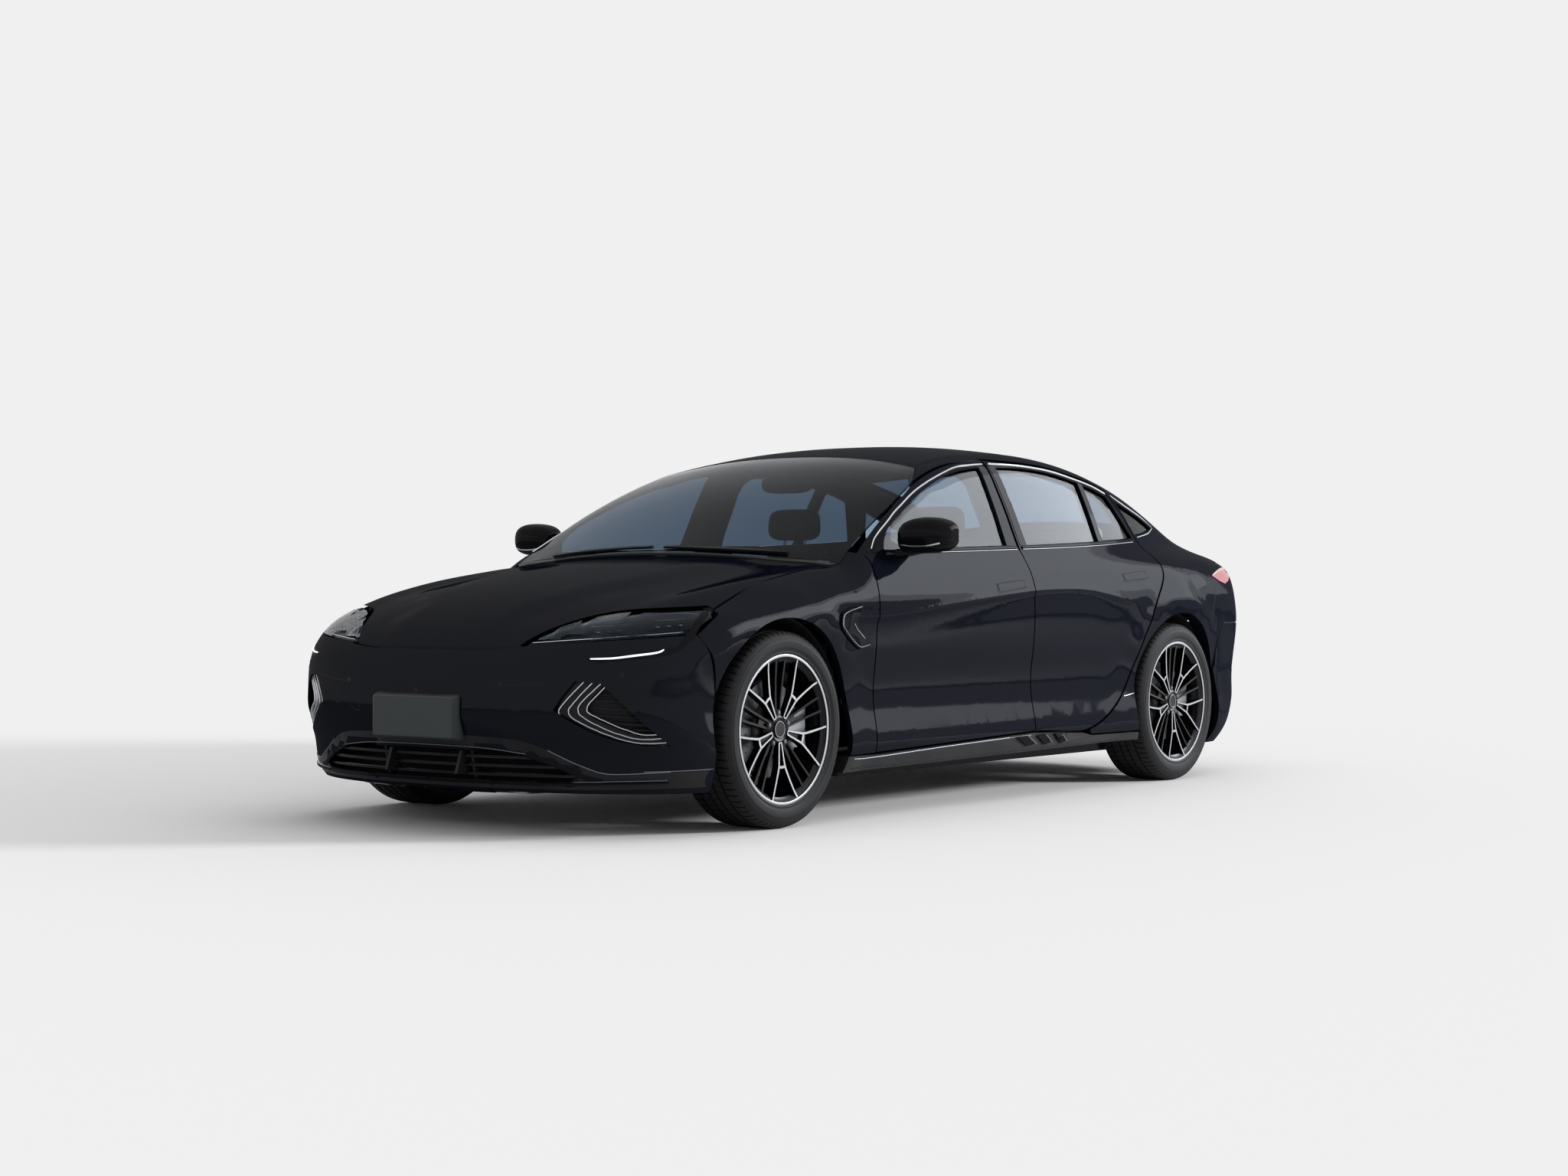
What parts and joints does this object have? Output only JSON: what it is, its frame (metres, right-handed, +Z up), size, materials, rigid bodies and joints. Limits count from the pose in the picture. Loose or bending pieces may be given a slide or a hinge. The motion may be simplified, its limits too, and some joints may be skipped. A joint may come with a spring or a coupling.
{
  "type": "sedan car",
  "caption": "Full-size electric fastback sedan with a closed cabin, side doors, bonnet, boot lid, steered front wheels and alloy rims.",
  "frame": {"origin": "on the ground under the middle of the car", "axes": "-Y points to the nose, +X to the car's left, where the driver sits, +Z up"},
  "size_m": [2.172, 4.8174, 1.4464],
  "materials": {
    "paint": "gloss metallic",
    "black_trim": "gloss",
    "rough_trim": "grained",
    "glass": "tinted",
    "lamp": "clear",
    "tail_lamp": "clear red",
    "steel": "satin",
    "under": "satin",
    "pack": "satin",
    "alloy": "machined and gloss black",
    "tyre": "matt",
    "seat": "satin",
    "cabin": "soft"
  },
  "bodies": {
    "car_body": {"fender_left": "paint", "fender_right": "paint", "side_frame_left": "paint", "side_frame_right": "paint", "front_bumper": "paint", "rear_bumper": "paint", "tail_panel": "paint", "roof_frame": "black_trim", "air_curtains": "black_trim", "skirts": "rough_trim", "lower_grille": "rough_trim", "cowl": "rough_trim", "front_plate": "rough_trim", "quarter_glass": "glass", "windscreen": "glass", "roof_glass": "glass", "rear_window": "glass", "headlamps": "lamp", "tail_lamps": "tail_lamp", "front_suspension": "steel", "rear_suspension": "steel", "platform": "under", "drive_units": "under", "battery_pack": "pack", "front_seats": "seat", "rear_seat": "seat", "dashboard": "cabin"},
    "front_left_door": {"door_front_left": "paint", "glass_front_left": "glass", "mirror_left": "black_trim"},
    "front_right_door": {"door_front_right": "paint", "glass_front_right": "glass", "mirror_right": "black_trim"},
    "rear_left_door": {"door_rear_left": "paint", "glass_rear_left": "glass"},
    "rear_right_door": {"door_rear_right": "paint", "glass_rear_right": "glass"},
    "bonnet_lid": {"bonnet": "paint"},
    "boot": {"boot_lid": "paint", "tail_lamp_bar": "tail_lamp"},
    "left_knuckle": {"knuckle_front_left": "steel"},
    "right_knuckle": {"knuckle_front_right": "steel"},
    "front_left_wheel": {"tyre_front_left": "tyre", "rim_front_left": "alloy"},
    "front_right_wheel": {"tyre_front_right": "tyre", "rim_front_right": "alloy"},
    "rear_left_wheel": {"tyre_rear_left": "tyre", "rim_rear_left": "alloy"},
    "rear_right_wheel": {"tyre_rear_right": "tyre", "rim_rear_right": "alloy"},
    "steering": {"steering_wheel": "cabin"}
  },
  "joints": [
    {"name": "front_left_door_hinge", "type": "hinge", "parent": "car_body", "child": "front_left_door", "pos_m": [0.932, -0.9415, 0.62], "axis": [0, 0, -1], "range_deg": [0, 66]},
    {"name": "front_right_door_hinge", "type": "hinge", "parent": "car_body", "child": "front_right_door", "pos_m": [-0.932, -0.9415, 0.62], "axis": [0, 0, 1], "range_deg": [0, 66]},
    {"name": "rear_left_door_hinge", "type": "hinge", "parent": "car_body", "child": "rear_left_door", "pos_m": [0.932, 0.1825, 0.62], "axis": [0, 0, -1], "range_deg": [0, 68]},
    {"name": "rear_right_door_hinge", "type": "hinge", "parent": "car_body", "child": "rear_right_door", "pos_m": [-0.932, 0.1825, 0.62], "axis": [0, 0, 1], "range_deg": [0, 68]},
    {"name": "bonnet_hinge", "type": "hinge", "parent": "car_body", "child": "bonnet_lid", "pos_m": [0, -0.975, 0.9], "axis": [-1, 0, 0], "range_deg": [0, 46]},
    {"name": "boot_hinge", "type": "hinge", "parent": "car_body", "child": "boot", "pos_m": [0, 1.8885, 1.163], "axis": [1, 0, 0], "range_deg": [0, 72]},
    {"name": "left_steer", "type": "hinge", "parent": "car_body", "child": "left_knuckle", "pos_m": [0.81, -1.51, 0.347], "axis": [0, 0, 1], "range_deg": [-35, 35]},
    {"name": "right_steer", "type": "hinge", "parent": "car_body", "child": "right_knuckle", "pos_m": [-0.81, -1.51, 0.347], "axis": [0, 0, 1], "range_deg": [-35, 35]},
    {"name": "front_left_roll", "type": "hinge", "parent": "left_knuckle", "child": "front_left_wheel", "pos_m": [0.81, -1.51, 0.347], "axis": [1, 0, 0], "continuous": true},
    {"name": "front_right_roll", "type": "hinge", "parent": "right_knuckle", "child": "front_right_wheel", "pos_m": [-0.81, -1.51, 0.347], "axis": [1, 0, 0], "continuous": true},
    {"name": "rear_left_roll", "type": "hinge", "parent": "car_body", "child": "rear_left_wheel", "pos_m": [0.81, 1.41, 0.347], "axis": [1, 0, 0], "continuous": true},
    {"name": "rear_right_roll", "type": "hinge", "parent": "car_body", "child": "rear_right_wheel", "pos_m": [-0.81, 1.41, 0.347], "axis": [1, 0, 0], "continuous": true},
    {"name": "steering_wheel_turn", "type": "hinge", "parent": "car_body", "child": "steering", "pos_m": [0.37, -0.5, 0.8], "axis": [0, 0.9136, 0.4067], "range_deg": [-490, 490]}
  ],
  "couplings": [
    {"joint": "right_steer", "follows": "left_steer", "ratio": 1},
    {"joint": "steering_wheel_turn", "follows": "left_steer", "ratio": 14}
  ]
}
